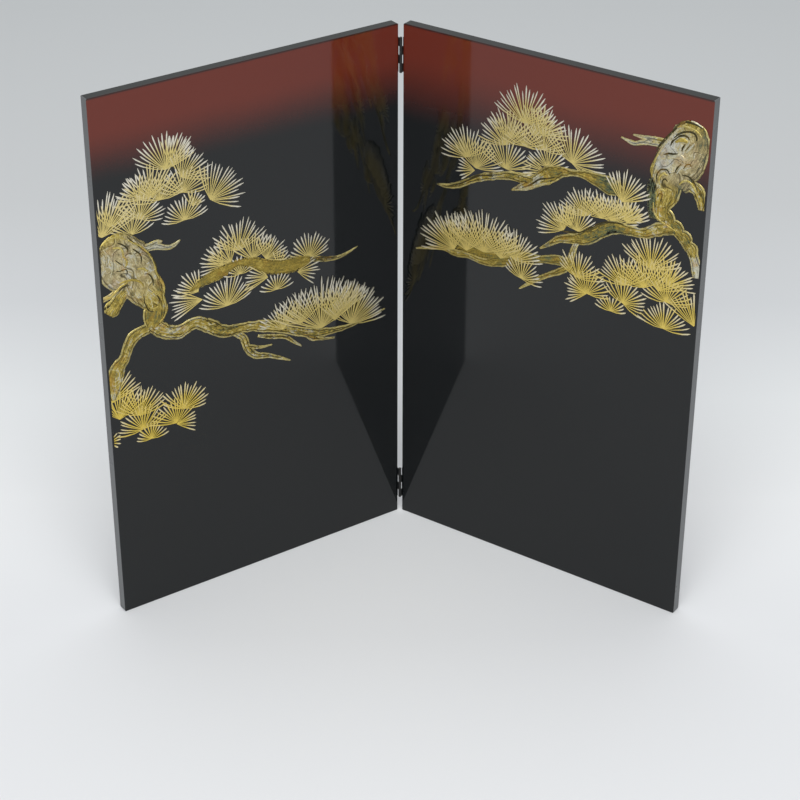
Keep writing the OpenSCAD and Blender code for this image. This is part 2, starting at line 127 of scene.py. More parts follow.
# The pine's limbs in the order that they were painted: how strongly the bark is marked, how much powder the
# left edge gains, seen along the limb (the right edge on the left board), where it is SLANT_WIDTH wide, and
# points at (out from the hinge side, height, width, powder). Powder runs from 0, bare dark lacquer, over
# 1, moss green, 2, thin brown gold, and 3, full gold, to 4, silver.
LIMBS = {
    "left": [
        (0.4, 0, [(177, 249, 3, 2), (165, 254, 9, 2), (150, 257, 11, 2), (138, 260, 7, 2), (125, 257, 10, 2),
         (112, 250, 12, 2), (100, 246.5, 13, 2), (88, 246, 13, 2), (77, 246, 7, 2.2)]),
        (1, 0, [(79, 247, 4, 2.4), (70, 244.5, 4.5, 2.6), (62, 242, 4, 2.6), (53, 241, 3.2, 2.6),
         (44, 242.4, 2.2, 2.6), (36, 245.2, 0.8, 2.3)]),
        (1, 0, [(143, 206, 5, 2.8), (135, 199, 6, 2.6), (132, 190, 6.5, 2.4), (126, 182, 6, 2.7),
         (115, 178, 4, 2.6), (105, 173, 3, 2.7), (96, 168, 1.2, 3.2)]),
        (1, 0, [(132, 191, 4, 2.2), (121, 187, 2.5, 2.4), (111, 186, 1.2, 2.6)]),
        (1, 0, [(123, 197, 2, 2.6), (112, 193, 4, 2.6), (100, 189, 3.5, 2.6), (92, 182, 2.5, 2.8),
         (86, 177, 1.2, 3)]),
        (1, 0, [(84, 190, 7, 2.8), (77, 182, 6, 3.2), (69, 178, 3, 3), (57, 175, 1.6, 3)]),
        (0.8, 0, [(210, 230, 9, 2.4), (217, 229, 9, 2.5), (223, 226.5, 10.5, 2.4), (227.5, 220, 9, 2.1),
         (231, 212.5, 9, 2.2), (235.5, 207, 12, 2.4), (239, 200, 14, 2.7), (240.5, 190, 11, 2.8),
         (242, 182, 6, 2.8)]),
        (1, 0, [(208, 236, 15, 2.3), (201, 226, 12, 2.8), (188, 220, 11, 3), (174, 223, 10, 2.6),
         (162, 217, 11, 1.9), (150, 209, 10, 1.9), (132, 207, 8, 2.4), (116, 203, 10, 2.3),
         (100, 196, 8, 2.5), (84, 188, 8, 2.6), (68, 183, 7, 2.2), (48, 181, 4, 2.2), (30, 183, 2.5, 2.4),
         (12, 186, 1.2, 2.8)]),
        (0.8, 0, [(222, 266, 14, 2.6), (229, 262.5, 11, 2.5), (234, 256.5, 11, 2.3), (238, 252.4, 13, 2.3),
         (240.6, 249.6, 9, 2.5)]),
        (0.8, 0, [(224, 268, 5, 3), (232, 266, 5, 3.1), (238, 263.5, 4, 3.1), (246, 261.5, 3.5, 3)]),
        (0.8, 0, [(214, 291.5, 7, 3.6), (203, 292, 6, 3.8), (194, 288.5, 4, 3.8), (188, 288, 3.5, 3.8),
         (182, 291, 1.2, 3.8)]),
        (0.8, 0, [(206, 293, 5, 3.8), (199, 294.5, 3, 3.8), (196, 293.5, 1.2, 3.8)]),
        (0.8, 0, [(234, 308.6, 6, 2.3), (233.5, 306.5, 17, 2.3), (232.5, 303, 25, 2.4), (230, 296, 32, 2.7),
         (227, 288, 40, 2.8), (223.6, 281.6, 40, 2.7), (218, 278, 30.5, 2.6), (215.2, 269, 29, 2.5),
         (211.5, 261, 26, 2.5), (207.5, 254, 21, 2.4), (204.3, 247, 17, 2.3), (205, 241, 19, 1.9),
         (206.5, 235, 16, 2), (208, 230, 10, 2.3)]),
    ],
    "right": [
        (0.4, 0, [(98, 256, 5, 1.7), (88, 254, 9, 1.8), (76, 250.5, 10, 1.9), (62, 249, 8, 2),
         (47, 248, 4, 2)]),
        (0.6, 0, [(144, 262, 6, 1.4), (133, 262, 8, 1.5), (120, 259, 6, 1.6), (108, 257, 8, 1.7),
         (96, 252, 10, 1.7), (84, 247, 9, 1.9), (72, 243, 6, 2.6), (58, 244, 5, 2.7), (47, 243, 6, 2.5),
         (36, 244, 4, 2.4), (25, 241, 3, 2.2), (12, 237, 1.2, 2.4)]),
        (0.7, 0, [(151, 286, 5, 3.3), (146.5, 277, 4.5, 3.4), (144, 268, 5.5, 2.9), (142, 260, 6, 2.1),
         (134, 253, 5, 2.1), (124, 247, 4, 2.5), (113, 239, 3.5, 2.6), (102, 230, 1.2, 2.8)]),
        (0.8, 0, [(183, 326, 5, 1), (178, 328.6, 10, 1.1), (171, 330, 14, 1.2), (163, 331.4, 11, 1.5),
         (152, 333, 7, 2.3), (142, 332, 5, 2.4), (132, 330, 9, 2), (124, 326, 13, 1.8), (114, 319, 10, 3.3),
         (104, 312, 7, 3.6), (93, 306, 1.2, 3)]),
        (1, 0, [(124, 322, 5, 2.6), (108, 317, 7, 2.4), (94, 317, 7, 2.2), (82, 314, 6, 2.5),
         (70, 310, 6, 2.5), (60, 305, 5, 1.9), (50, 299, 5, 2), (40, 295, 4, 2.2), (30, 294, 1.2, 2.5)]),
        (0.8, -2, [(222, 312, 10, 2.6), (211, 308, 10, 2.7), (200, 302, 8, 2.7), (189, 301, 8, 1.7),
         (177, 300, 10, 1.2), (166, 294, 11, 1.15), (155, 286, 11, 1.45), (144, 282, 8, 2.4),
         (134, 279, 6, 2.5), (126, 273, 4, 2.6), (118, 267, 1.2, 3)]),
        (0.9, 0, [(212, 322, 11, 2.4), (216.6, 318.2, 13, 2.3), (219.4, 313.6, 9.6, 2.2),
         (224, 312.4, 12.4, 2.1), (227, 308.8, 9.2, 1.9), (231, 306.8, 11.8, 2), (233.4, 303, 8.8, 2.1),
         (236.4, 300.4, 10.6, 2.3), (238.2, 296, 8, 2.7), (241, 289, 8.5, 4), (243, 280, 8, 4)]),
        (0.9, 0, [(220, 347, 12, 2.9), (231, 347, 9, 2.8), (238.3, 343.4, 10, 2.6), (241, 337, 8, 2.7),
         (241.6, 330.6, 5, 2.8)]),
        (0.4, 0, [(206, 347, 6, 0.5), (204.5, 338, 9, 0.7), (205, 326, 9, 0.7), (205.5, 315, 6, 0.5)]),
        (0.8, 0, [(214, 371, 8, 3.6), (203, 371, 7, 3.7), (195, 368.5, 4, 3.8), (188, 366, 3.5, 3.8),
         (178, 368, 1.2, 3.8)]),
        (0.8, 0, [(204, 373, 4, 3.7), (195, 372, 3, 3.8), (187, 372, 1.2, 3.8)]),
        (0.8, -1.6, [(230, 392, 6, 2.2), (230, 390.5, 13, 2.2), (230.3, 387, 22, 2.2), (230, 383, 27, 2.3),
         (230.1, 377.5, 29, 2.5), (227.1, 369.3, 33, 2.95), (223.6, 362.6, 35.5, 3.1),
         (219.8, 357.2, 31.5, 3), (218.5, 351, 32, 2.7), (215.5, 345, 27, 2.4), (215.5, 340, 21, 2.3),
         (214, 333, 18, 2.2), (212, 326, 13, 2.1), (212, 320, 12, 2.2), (213, 315, 8, 2.4)]),
    ],
}

# Limbs marked about this much were not drawn with the brush: thin powder was only dusted on
DUSTED = (0.3, 0.5)

# Brush strokes laid over the knotted trunks, in the order that they were painted: points at
# (out from the hinge side, height, width, powder)
STROKES = {
    "left": [
        [(74, 245.8, 0.5, 0), (68, 245.4, 1.1, 0), (61, 243.2, 1.2, 0), (54, 241.8, 0.6, 0)],
        [(241, 300, 0.8, 3.6), (237, 293, 1.8, 3.7), (235, 286, 1.6, 3.7), (237, 279, 0.8, 3.6)],
        [(220, 293, 0.8, 3.5), (218, 288, 2, 3.6), (217, 282, 1, 3.5)],
        [(222, 302, 1.2, 2.75), (212, 293.5, 1.8, 2.85), (204.5, 283, 1.6, 2.85), (202, 272, 1.6, 2.75),
         (199.5, 266.5, 2, 2.85), (196.8, 259, 2.2, 2.85), (197.2, 250, 1.8, 2.95), (195.3, 242, 2, 2.95),
         (197.5, 236, 1.6, 2.75), (202, 232, 0.9, 2.75)],
        [(222.8, 305.2, 0.62, 0), (219.8, 300.9, 0.99, 0), (214.4, 295.5, 1.12, 0), (210.2, 290.5, 0.99, 0),
         (206.3, 286.3, 1.12, 0), (203.2, 281.3, 0.99, 0), (201.7, 277, 0.81, 0), (201.3, 272, 0.5, 0.3)],
        [(230.2, 302, 0.5, 0), (227.5, 300.5, 1.12, 0), (224.4, 297.8, 1.15, 0), (223, 295.5, 1.15, 0),
         (223.4, 293.2, 0.5, 0)],
        [(219.4, 294.8, 0.5, 0), (216.3, 292, 1.12, 0), (214, 289.4, 1.15, 0), (213, 286, 1.12, 0),
         (213.6, 281.7, 0.5, 0)],
        [(210.9, 273.2, 0.5, 0), (208.6, 272.5, 0.99, 0), (206.7, 270.2, 1.15, 0), (205.3, 266.7, 1.15, 0),
         (205.3, 262.5, 0.5, 0)],
        [(203.2, 254.4, 0.5, 0), (201.9, 252.5, 0.99, 0), (201.2, 250.2, 1.12, 0), (201.7, 247.5, 0.5, 0)],
        [(232.8, 289.8, 0.5, 0), (230.2, 287, 0.81, 0), (228, 284.8, 0.5, 0)],
        [(232.5, 281.3, 0.5, 0), (229.8, 280.7, 0.81, 0), (226, 280.9, 0.99, 0), (224.4, 279, 0.99, 0),
         (225, 276, 0.5, 0)],
        [(232, 265.2, 0.5, 0), (229.8, 267, 0.99, 0), (226.7, 268.1, 0.99, 0), (223.6, 267.8, 0.5, 0)],
        [(234, 299, 1, 2.85), (229, 298, 1.6, 2.95), (226.5, 294, 1.6, 2.95), (227, 290, 0.8, 2.85)],
        [(226, 290.5, 0.8, 2.65), (224, 286, 1.4, 2.85), (225.5, 282.6, 0.8, 2.65)],
        [(216.5, 278.5, 0.8, 2.75), (212, 277.5, 1.6, 2.95), (208.6, 274.5, 1.2, 2.85)],
        [(231, 271, 0.7, 2.3), (226, 271.8, 1.6, 2.3), (220, 271, 1.8, 2.3), (215, 268, 1.4, 2.3),
         (212.5, 264, 0.8, 2.4)],
        [(209.8, 257.5, 0.6, 2.75), (210.3, 250.5, 1.2, 2.85), (208, 245.9, 1.2, 2.75),
         (204.4, 244.4, 1, 2.75), (201.8, 245.6, 0.6, 2.65)],
        [(207.6, 256, 0.5, 2.85), (204.4, 257.2, 1, 2.95), (200.6, 254, 1.1, 2.85),
         (199.4, 249, 0.6, 2.75)],
        [(213, 258, 0.5, 0.3), (212.5, 251, 0.81, 0), (210, 244.5, 0.81, 0), (206, 242, 0.5, 0.3)],
        [(243, 262.5, 1, 2.85), (237, 263.4, 1.8, 2.95), (230, 268.5, 1.4, 2.85), (224, 270.6, 0.8, 2.75)],
        [(241.5, 252, 0.6, 2.65), (241.8, 257.5, 1.2, 2.85), (238.5, 259.6, 1, 2.75)],
        [(242.5, 303, 0.8, 2.75), (237, 306, 1.4, 2.85), (230, 306.4, 1.2, 2.85), (224, 303, 0.8, 2.75)],
        [(245, 255.2, 2.4, 0), (241.6, 255.9, 2, 0), (238.6, 256.8, 0.6, 0)],
    ],
    "right": [
        [(226, 389.4, 0.8, 3.3), (221, 384.8, 1.6, 3.5), (215, 377.4, 1.8, 3.6), (209.6, 368.6, 1.6, 3.5),
         (205.6, 360, 1.6, 3), (202.4, 351, 2.2, 2.8), (203.5, 345, 1, 2.7)],
        [(205, 365.4, 0.5, 0), (208.2, 370.4, 1.56, 0), (211.4, 375, 1.69, 0), (216.4, 381.4, 1.56, 0),
         (220.8, 387.6, 1.56, 0), (224, 390.2, 1.56, 0), (229, 391, 1.56, 0), (234, 390.4, 1.3, 0),
         (238, 388.8, 0.5, 0)],
        [(229, 392.2, 0.5, 3.8), (233, 391.6, 0.9, 4), (238.2, 389.7, 0.5, 4)],
        [(218, 377.4, 0.5, 0), (220.6, 380.6, 1.3, 0), (225, 383.4, 1.43, 0), (230, 384.6, 1.43, 0),
         (233.2, 383.6, 1.43, 0), (234.6, 380.6, 1.3, 0), (234.2, 379.2, 0.5, 0)],
        [(219, 374.6, 1.2, 2.4), (223.5, 377.4, 3.2, 2.6), (228, 376.8, 1.4, 2.4)],
        [(215.8, 371.2, 0.5, 0), (216.8, 374.6, 1.43, 0), (219.4, 377.2, 0.9, 0.3), (222, 379.8, 1.43, 0),
         (225.4, 381, 1.43, 0), (228.2, 380.2, 1.3, 0), (229.2, 378.6, 0.5, 0)],
        [(219, 385.4, 0.8, 2.9), (226, 387.4, 1.4, 3.1), (233, 386.4, 1.2, 2.9), (238, 383, 0.7, 2.8)],
        [(222, 369.3, 0.5, 4), (223, 371.6, 1.1, 4), (224, 374.2, 0.5, 4)],
        [(224.2, 369.4, 0.5, 0), (224.9, 372.2, 1.3, 0), (226.4, 375.2, 0.5, 0)],
        [(225, 369.6, 0.5, 4), (226.9, 373, 1.3, 4), (229.4, 376.8, 0.6, 4)],
        [(226.8, 370.2, 0.4, 0), (228.6, 373.2, 0.6, 0), (230.4, 375.8, 0.4, 0)],
        [(227.6, 369.2, 0.5, 3.9), (230.2, 373, 1.5, 4), (233.2, 377.2, 0.7, 4)],
        [(214, 362, 2, 3.5), (219, 364, 3.2, 3.8), (224.5, 365, 3.4, 3.9), (227.2, 361.2, 2, 3.6)],
        [(211, 363.6, 0.5, 0.3), (214.6, 365.4, 1.43, 0), (218.6, 366, 1.3, 0), (221.6, 367, 0.5, 0.3)],
        [(205.6, 356.4, 0.5, 3.6), (208, 359.6, 1.2, 3.8), (212, 361, 0.6, 3.6)],
        [(220.4, 353.4, 0.5, 0), (222, 357, 1.17, 0), (224.6, 360.4, 0.4, 0)],
        [(221.6, 352.2, 0.5, 4), (223.6, 356.4, 1.2, 4), (226.8, 361.2, 0.5, 4)],
        [(226.4, 357.4, 0.5, 0), (228.4, 360.6, 1, 0), (231, 361.4, 0.9, 0), (232, 360.2, 0.4, 0)],
        [(227, 355.8, 0.6, 4), (228.8, 358.2, 1.2, 4), (231.8, 359.4, 0.6, 4)],
        [(207.6, 341.8, 0.5, 0), (206.8, 346.8, 1.12, 0), (208, 350.2, 1.15, 0), (210.4, 352.8, 1.15, 0),
         (214.6, 353.2, 1.12, 0), (216.8, 350.2, 0.5, 0)],
        [(209.4, 341, 0.5, 2.75), (209, 346, 1.4, 2.85), (211.6, 350, 1.6, 2.95), (215, 349.4, 0.8, 2.85)],
        [(211.4, 341, 0.5, 0), (211.6, 344.6, 0.99, 0), (213.4, 346.6, 0.99, 0), (215.4, 345, 0.5, 0)],
        [(206.4, 333.5, 0.5, 2.75), (208.6, 337.2, 1.3, 2.95), (212.6, 338, 1.3, 2.95),
         (214.6, 334, 0.9, 2.85), (212.4, 327, 0.6, 2.75)],
        [(208.6, 331.5, 0.5, 0), (209.8, 334.8, 0.99, 0), (212.2, 334.4, 0.99, 0), (211.2, 329.4, 0.5, 0)],
        [(205.6, 327, 0.8, 2.75), (207, 319.6, 1.5, 2.95), (211.6, 314.6, 1.7, 2.95), (218, 312.4, 1.3, 2.85),
         (224, 310.4, 0.7, 2.75)],
        [(224, 345, 0.7, 2.75), (227.4, 348.7, 1.5, 2.95), (231.8, 348.6, 1.4, 2.95),
         (235.6, 344.6, 1.2, 2.85), (238.4, 339, 0.9, 2.75), (241.4, 332, 0.4, 2.65)],
        [(93, 305.8, 0.8, 3.1), (102, 309.2, 1.7, 3.3), (110, 313, 2.1, 3.3), (118, 317.4, 1.7, 3.2),
         (126, 320.4, 0.8, 3)],
        [(102, 310.4, 0.6, 0), (109, 314.6, 1.3, 0), (115.6, 320.2, 1.4, 0), (122, 322.6, 1.2, 0),
         (128, 325, 0.6, 0)],
        [(46, 297, 0.6, 0), (56, 303.4, 1.1, 0), (64, 309.4, 1.3, 0), (72, 311.8, 0.9, 0),
         (80, 313.6, 0.5, 0)],
        [(130, 285.2, 0.6, 0), (140, 286.2, 1.3, 0), (149, 288.6, 1.4, 0), (157, 293.6, 1.3, 0),
         (165, 299.4, 1.3, 0), (173, 303.2, 1.1, 0), (184, 304.6, 0.6, 0)],
        [(226, 352.6, 0.5, 0), (231, 352.4, 1.12, 0), (235.4, 348.6, 0.99, 0), (238, 343.6, 0.5, 0)],
    ],
}

# The fans of needles, bough by bough: how yellow the powder is, whether the bough lies over the wood, and
# its fans as (out from the hinge side, height, lean away from it, spread, length)
BOUGHS = {
    "left": [
        (0.2, False, [(203, 328, 8, 130, 26), (196, 325, 0, 165, 21), (190, 346, 0, 135, 28),
         (185, 347, -25, 90, 22), (178, 337, -40, 130, 23), (178, 326, -10, 170, 20), (211, 329, 8, 160, 20),
         (212, 315, -20, 165, 20), (235, 315, -20, 110, 20), (241, 309, -10, 120, 33), (219, 305, 3, 155, 19),
         (171, 314, -25, 110, 12), (178, 305, 2, 165, 19), (157, 315, -50, 130, 27)]),
        (0.3, False, [(143, 262, 35, 100, 22), (125, 260, -5, 120, 21), (136, 270, 0, 135, 25),
         (149, 262, 55, 90, 20), (114, 257, -40, 130, 19), (104, 250, -30, 100, 12), (78, 248, 0, 160, 20),
         (136, 251, 0, 160, 14), (170, 247, 42, 90, 20), (167, 240, 86, 56, 27), (147, 229, 2, 152, 24),
         (113, 242, 72, 80, 21), (106, 230, 0, 160, 14), (88, 239, -96, 76, 19)]),
        (0.3, True, [(102, 196, 10, 110, 23), (87, 196, 6, 120, 28), (48, 197, -12, 120, 25),
         (57, 190, -8, 90, 33), (69, 187, 2, 130, 41), (43, 183, -22, 144, 32)]),
        (1, False, [(238, 165, -8, 110, 26), (244, 180, -45, 60, 26), (222, 163, -10, 140, 23),
         (220, 151, 8, 165, 21), (247, 149, -80, 110, 9), (214, 141, 0, 165, 14), (187, 157, -15, 155, 22),
         (193, 147, 22, 110, 22), (193, 146, -85, 80, 18)]),
    ],
    "right": [
        (0.2, False, [(110, 352, 15, 110, 24), (90, 345, 0, 120, 22), (102, 359, 0, 140, 28),
         (116, 354, 32, 110, 22), (102, 342, 0, 160, 19), (118, 343, 0, 170, 20), (87, 339, -20, 150, 23),
         (141, 339, 30, 165, 27), (122, 331, 0, 150, 17), (120, 327, -85, 60, 20), (88, 321, 8, 150, 24),
         (56, 322, -20, 150, 24), (63, 315, 15, 130, 25), (62, 313, -95, 70, 16)]),
        (0.4, False, [(166, 304, -5, 150, 21), (176, 303, 10, 150, 23), (187, 306, 8, 120, 20),
         (184, 308, 35, 100, 16), (153, 302, -18, 140, 22), (148, 289, 0, 140, 19), (143, 292, -40, 90, 16),
         (137, 287, -45, 130, 23)]),
        (0.4, True, [(182, 321, 15, 108, 25), (57, 248, -8, 110, 30), (86, 250, 5, 110, 26),
         (71, 251, 0, 140, 35), (46, 246, -40, 120, 30), (98, 252, 15, 130, 25), (104, 239, 15, 160, 18)]),
        (0.8, False, [(214, 262, 10, 120, 22), (207, 277, 0, 140, 26), (203, 261, -20, 140, 25),
         (221, 268, 25, 130, 22), (221, 255, 0, 170, 20), (187, 258, -15, 140, 24), (187, 244, 28, 170, 20),
         (150, 253, 10, 140, 22), (158, 243, 12, 150, 20), (158, 243, -95, 70, 19), (178, 235, 0, 160, 13),
         (220, 234, 3, 160, 21), (243, 243, -18, 90, 26)]),
    ],
}


def colour_setting(name, description, hex_colour):
    """A setting with an sRGB hex colour as its default."""
    return bpy.props.FloatVectorProperty(
        name=name, description=description, subtype="COLOR", size=4, min=0, max=1, default=linear(hex_colour))


def length_setting(name, description, metres):
    """A setting with a length in metres as its default."""
    return bpy.props.FloatProperty(name=name, description=description, unit="LENGTH", default=metres)


def group_setting(group, name, description):
    """A setting that holds a whole group of settings."""
    return bpy.props.PointerProperty(type=group, name=name, description=description)


class LacquerSettings(bpy.types.PropertyGroup):
    black: colour_setting("Black", "Colour of the black lacquer", "#070b0d")
    red: colour_setting("Red", "Colour of the red lacquer along the top of the fronts", "#632212")
    edge: colour_setting("Edges", "Colour of the satin top, bottom and hinge-side edges", "#242524")
    # The outer edges' colour is paler than the other edges': a painted sheen for the light they catch
    outer_edge_painted_sheen: colour_setting("Outer edges", "Colour of the satin outer edges", "#666869")
    fade_low: bpy.props.FloatVectorProperty(
        name="Red ends", description="Height at which the red has faded to black, left and right board",
        size=2, unit="LENGTH", default=(0.346, 0.335))
    fade_high: bpy.props.FloatVectorProperty(
        name="Red full", description="Height above which the red is full, left and right board",
        size=2, unit="LENGTH", default=(0.388, 0.390))
    polish_depth: length_setting("Polish depth", "How far a face's polish reaches round the arrises", 0.00028)


class HardwareSettings(bpy.types.PropertyGroup):
    paint: colour_setting("Hinge paint", "Colour of the paint on the hinges", "#0b0c0c")
    steel: colour_setting("Screw steel", "Colour of the blackened screws", "#4a4a4c")


class PineSettings(bpy.types.PropertyGroup):
    gold: colour_setting("Gold", "Colour of the gold powder", "#e3d18c")
    rich_gold: colour_setting("Rich gold", "Colour of the yellower gold powder low on the tree", "#e8cd60")
    silver: colour_setting("Silver", "Colour of the silver powder at the needles' tips", "#f0ecdf")
    limb_relief: length_setting("Limb relief", "How far the limbs stand out of the board", 0.0003)
    needle_relief: length_setting("Needle relief", "How far the needles stand out of the board", 0.00012)
    needle_width: length_setting("Needle width", "Greatest width of a needle", 0.00122)
    needle_pitch: length_setting("Needle pitch", "Distance between the tips of a fan's needles", 0.0034)


class StageSettings(bpy.types.PropertyGroup):
    floor: colour_setting("Floor", "Colour of the floor round the screen", "#e2e4e6")
    # The far floor's grey is painted shade, where the floor runs away from the lamps
    distance: colour_setting("Far floor", "Colour of the floor far behind the screen", "#d2d6d7")
    room: colour_setting(
        "Room", "Colour of the pale room beyond the floor, as polish and powder mirror it", "#d3d7d8")
    ambient: bpy.props.FloatProperty(
        name="Ambient", description="Strength of the light from all round", default=0.38, min=0)
    lamp_power: bpy.props.FloatProperty(
        name="Lamp power", description="Power of the soft lamp above the camera", unit="POWER", default=66.0)
    fill_power: bpy.props.FloatProperty(
        name="Fill power", description="Power of the soft lamp above the screen's back", unit="POWER",
        default=15.0)


def settings():
    """The screen's settings in the current scene."""
    return bpy.context.scene.folding_screen


def add_node(tree, kind, sockets=(), operation=None, **options):
    """Adds a node with its operation and options. Each socket, named or in order, gets a value, a hex colour,
    another node's output, or another node, which stands for its first output in use."""
    node = tree.nodes.new("ShaderNode" + kind)
    if operation:
        node.operation = operation
    for name, value in options.items():
        setattr(node, name, value)
    for name, value in sockets.items() if isinstance(sockets, dict) else enumerate(sockets):
        if isinstance(value, bpy.types.Node):
            value = next(output for output in value.outputs if output.enabled)
        if isinstance(value, bpy.types.NodeSocket):
            tree.links.new(value, node.inputs[name])
        else:
            node.inputs[name].default_value = linear(value) if isinstance(value, str) else value
    return node


def span(low, high, to_low=0.0, to_high=1.0):
    """The sockets by which a Map Range node takes low to to_low, and high to to_high."""
    return {"From Min": low, "From Max": high, "To Min": to_low, "To Max": to_high}


# A Map Range node's option that rounds off both ends of its span
SMOOTH = {"interpolation_type": "SMOOTHSTEP"}


def set_ramp(ramp, first, last, between):
    """Gives a colour ramp its end colours and the hex colours between, each with its place."""
    stops = ramp.color_ramp.elements
    stops[0].position, stops[0].color = 0.0, first
    stops[1].position, stops[1].color = 1.0, last
    for position, hex_colour in between:
        stops.new(position).color = linear(hex_colour)


def start_material(name):
    """A new material, the function that adds a node to it, and the place on the piece."""
    material = bpy.data.materials.new(name)
    material.use_nodes = True
    material.node_tree.nodes.clear()
    add = partial(add_node, material.node_tree)
    return material, add, add("TexCoord").outputs["Object"]


def finish_material(add, height, strength, distance, sockets):
    """Ends a material in its shader, over a relief of a height that is distance metres deep."""
    relief = add("Bump", {"Height": height, "Strength": strength, "Distance": distance})
    add("OutputMaterial", {"Surface": add("BsdfPrincipled", {**sockets, "Normal": relief})})


def attribute(add, name, output="Fac"):
    """What the drawing of the pine has laid down on its vertices under a name."""
    return add("Attribute", attribute_name=name).outputs[output]


def wandering_line(add, pattern):
    """How far a pattern lies from its middle, and the thin line along which it crosses it."""
    off = add("Math", (pattern, 0.5), "SUBTRACT")
    near = add("Math", (off,), "ABSOLUTE")
    return off, add("MapRange", {"Value": near, **span(0.008, 0.03, 1.0, 0.0)}, **SMOOTH)


def board_axes(side):
    """The way out from the hinge side, the way back from the front face, and the hinge-side front edge."""
    way = -1 if side == "left" else 1
    out = Vector((way * math.sin(HALF_OPEN), -math.cos(HALF_OPEN), 0))
    back = Vector((way * math.cos(HALF_OPEN), math.sin(HALF_OPEN), 0))
    return out, back, Vector((way * HINGE_EDGE.x, HINGE_EDGE.y, 0))


def board_matrix(side):
    """Takes (out from the hinge side, height, distance in front of the board) to the standing screen."""
    out, back, edge = board_axes(side)
    matrix = Matrix((out, Vector((0, 0, 1)), -back)).transposed().to_4x4()
    matrix.translation = edge
    return matrix


# Black urushi-style lacquer: sprayed in coats and polished to a mirror on both faces, left satin on the
# edges. The eye gets a deep, almost wet black, with a red top that fades out in a soft sprayed mist.
def polished_lacquer(side):
    own = settings().lacquer
    index = SIDES.index(side)
    out, back, edge = board_axes(side)
    material, add, place = start_material(f"black_lacquer_red_mist_{side}")
    behind = add("VectorMath", (place, back), "DOT_PRODUCT")
    depth = add("Math", (behind, back.dot(edge)), "SUBTRACT")
    # The polish gives way to satin over the last 40 percent of its reach round an arris
    reach, inner = own.polish_depth, own.polish_depth * 0.6
    front = add("MapRange", {"Value": depth, **span(inner, reach, 1.0, 0.0)}, **SMOOTH)
    rear = add("MapRange", {
        "Value": depth, **span(BOARD_THICKNESS - reach, BOARD_THICKNESS - inner)}, **SMOOTH)
    polished = add("Math", (front, rear), "MAXIMUM")
    # The spray gun's drift, in clouds about 60 mm across, and its droplets, drawn at 1.2 mm so that they show
    drift = add("TexNoise", {"Vector": place, "Scale": 16.0, "Detail": 2.0})
    droplets = add("TexNoise", {"Vector": place, "Scale": 800.0, "Detail": 1.0})
    height = add("SeparateXYZ", {"Vector": place}).outputs["Z"]
    drifted = add("Math", (drift, MIST_DRIFT, height), "MULTIPLY_ADD")
    spread = add("Math", (droplets, MIST_DROPLETS, drifted), "MULTIPLY_ADD")
    moved = (MIST_DRIFT + MIST_DROPLETS) / 2
    mist = add("MapRange", {
        "Value": spread, **span(own.fade_low[index] + moved, own.fade_high[index] + moved)}, **SMOOTH)
    # Along the top arris, 0.6 to 1.6 mm below the edge, the red gives way to black: a painted shade for the
    # dark line that the rounded arris shows
    painted_arris_shade = add("MapRange", {
        "Value": height, **span(BOARD_HEIGHT - 1.6 * MM, BOARD_HEIGHT - 0.6 * MM, 1.0, 0.25)}, **SMOOTH)
    red_left = add("Math", (mist, painted_arris_shade), "MULTIPLY")
    red_share = add("Math", (red_left, front), "MULTIPLY")
    # Satin edges with a painted sheen: the outer ones are painted paler than the rest, from 0.4 to 0.9 mm
    # inside the side
    outward = add("VectorMath", (place, out), "DOT_PRODUCT")
    outer_side = out.dot(edge) + BOARD_WIDTH
    outer_sheen_share = add("MapRange", {
        "Value": outward, **span(outer_side - 0.9 * MM, outer_side - 0.4 * MM)}, **SMOOTH)
    satin_colour = add("Mix", {"Factor": outer_sheen_share, "A": own.edge, "B": own.outer_edge_painted_sheen}, data_type="RGBA")
    ground = add("Mix", {"Factor": polished, "A": satin_colour, "B": own.black}, data_type="RGBA")
    colour = add("Mix", {"Factor": red_share, "A": ground, "B": own.red}, data_type="RGBA")
    # Faces so polished that only a faint unevenness is left in their gloss
    haze = add("TexNoise", {"Vector": place, "Scale": 40.0, "Detail": 3.0})
    polish = add("MapRange", {"Value": haze, **span(0.0, 1.0, 0.02, 0.06)})
    satin = add("MapRange", {"Value": haze, **span(0.0, 1.0, 0.24, 0.34)})
    gloss = add("Mix", {"Factor": polished, "A": satin, "B": polish}, data_type="FLOAT")
    mirroring = add("MapRange", {"Value": polished, **span(0.0, 1.0, 0.2, 0.5)})
    # The slow swell of hand-rubbed lacquer, about 30 mm from crest to crest and a few micrometres deep
    swell = add("TexNoise", {"Vector": place, "Scale": 33.0, "Detail": 1.0})
    finish_material(add, swell, 0.15, 0.00002, {
        "Base Color": colour, "Roughness": gloss, "IOR": 1.46, "Specular IOR Level": mirroring})
    return material


# Stamped and rolled mild steel under satin black paint: a soft, slightly pebbled dark sheen
def hinge_paint():
    material, add, place = start_material("satin_black_painted_steel")
    pebble = add("TexNoise", {"Vector": place, "Scale": 2500.0, "Detail": 2.0})
    rubbed = add("TexNoise", {"Vector": place, "Scale": 300.0, "Detail": 3.0})
    colour = add("Mix", {"Factor": rubbed, "A": settings().hardware.paint, "B": "#131414"}, data_type="RGBA")
    sheen = add("MapRange", {"Value": rubbed, **span(0.0, 1.0, 0.42, 0.6)})
    finish_material(add, pebble, 0.3, 0.00003, {"Base Color": colour, "Roughness": sheen, "IOR": 1.5})
    return material


# Blackened steel wood screws: dark metal, turned, so that fine rings catch the light
def screw_steel():
    material, add, place = start_material("blackened_steel")
    stain = add("TexNoise", {"Vector": place, "Scale": 900.0, "Detail": 3.0})
    colour = add("Mix", {"Factor": stain, "A": settings().hardware.steel, "B": "#2e2e30"}, data_type="RGBA")
    sheen = add("MapRange", {"Value": stain, **span(0.0, 1.0, 0.28, 0.5)})
    finish_material(add, stain, 0.3, 0.00002, {"Base Color": colour, "Metallic": 1.0, "Roughness": sheen})
    return material
